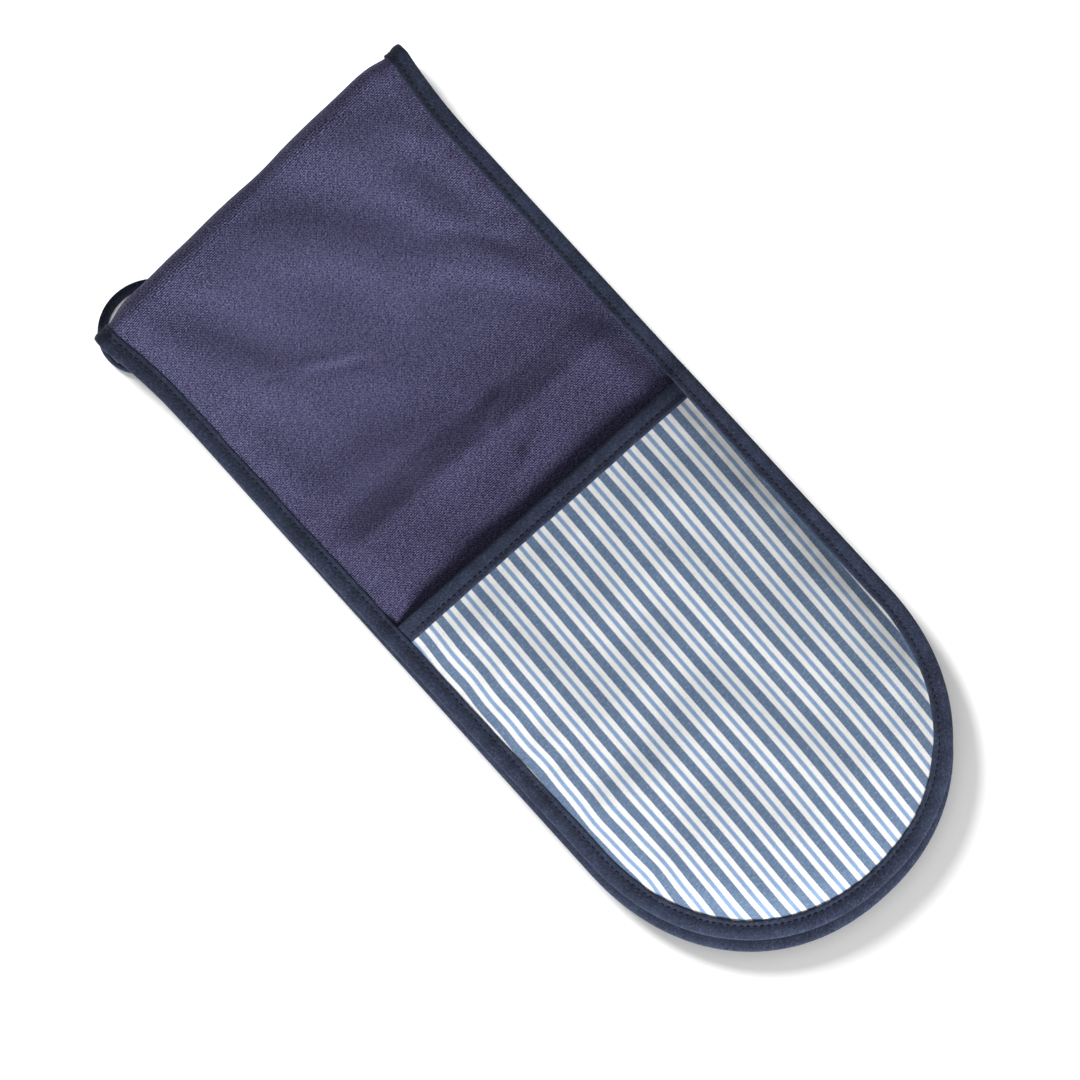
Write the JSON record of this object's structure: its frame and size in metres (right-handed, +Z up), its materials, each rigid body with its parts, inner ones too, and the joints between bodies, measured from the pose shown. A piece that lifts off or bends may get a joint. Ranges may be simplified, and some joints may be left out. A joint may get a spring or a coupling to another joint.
{
  "type": "oven mitt",
  "caption": "Double oven glove folded in half: a padded strip with a striped hand pocket at each rounded end, taped edges and a hanging loop.",
  "frame": {"origin": "under the middle of the folded glove, on the surface that it lies on", "axes": "+Y along the glove from the toes to the fold, +X across it, +Z up through the folded halves"},
  "size_m": [0.195, 0.439, 0.0306],
  "materials": {
    "navy_drill": "cotton drill, matt, fine diagonal twill",
    "ticking": "striped cotton ticking, matt, slate blue, pale blue and white stripes",
    "navy_tape": "bias tape, matt, topstitched",
    "wadding": "felted cotton padding",
    "lining_cloth": "plain cotton"
  },
  "bodies": {
    "lower_half": {"lower_back_cloth": "ticking", "lower_wadding": "wadding", "lower_front_cloth": "navy_drill", "lower_binding": "navy_tape", "lower_pocket_lining": "lining_cloth", "lower_pocket_wadding": "wadding", "lower_pocket_cloth": "ticking", "lower_pocket_binding": "navy_tape", "fold_back_cloth": "ticking", "fold_wadding": "wadding", "fold_front_cloth": "navy_drill", "fold_binding_left": "navy_tape", "fold_binding_right": "navy_tape"},
    "upper_half": {"upper_back_cloth": "ticking", "upper_wadding": "wadding", "upper_front_cloth": "navy_drill", "upper_binding": "navy_tape", "upper_pocket_lining": "lining_cloth", "upper_pocket_wadding": "wadding", "upper_pocket_cloth": "ticking", "upper_pocket_binding": "navy_tape"},
    "hanging_loop": {"hanging_loop": "navy_tape"}
  },
  "joints": [
    {"name": "fold", "type": "hinge", "parent": "lower_half", "child": "upper_half", "pos_m": [0.00149, 0.20753, 0.0153], "axis": [-1, 0, 0], "range_deg": [0, 179.5], "deforming": ["fold_back_cloth", "fold_wadding", "fold_front_cloth", "fold_binding_left", "fold_binding_right"]},
    {"name": "loop_swing", "type": "hinge", "parent": "lower_half", "child": "hanging_loop", "pos_m": [-0.0904, 0.1973, 0.0068], "axis": [0, 0, 1], "range_deg": [-40, 150]}
  ]
}
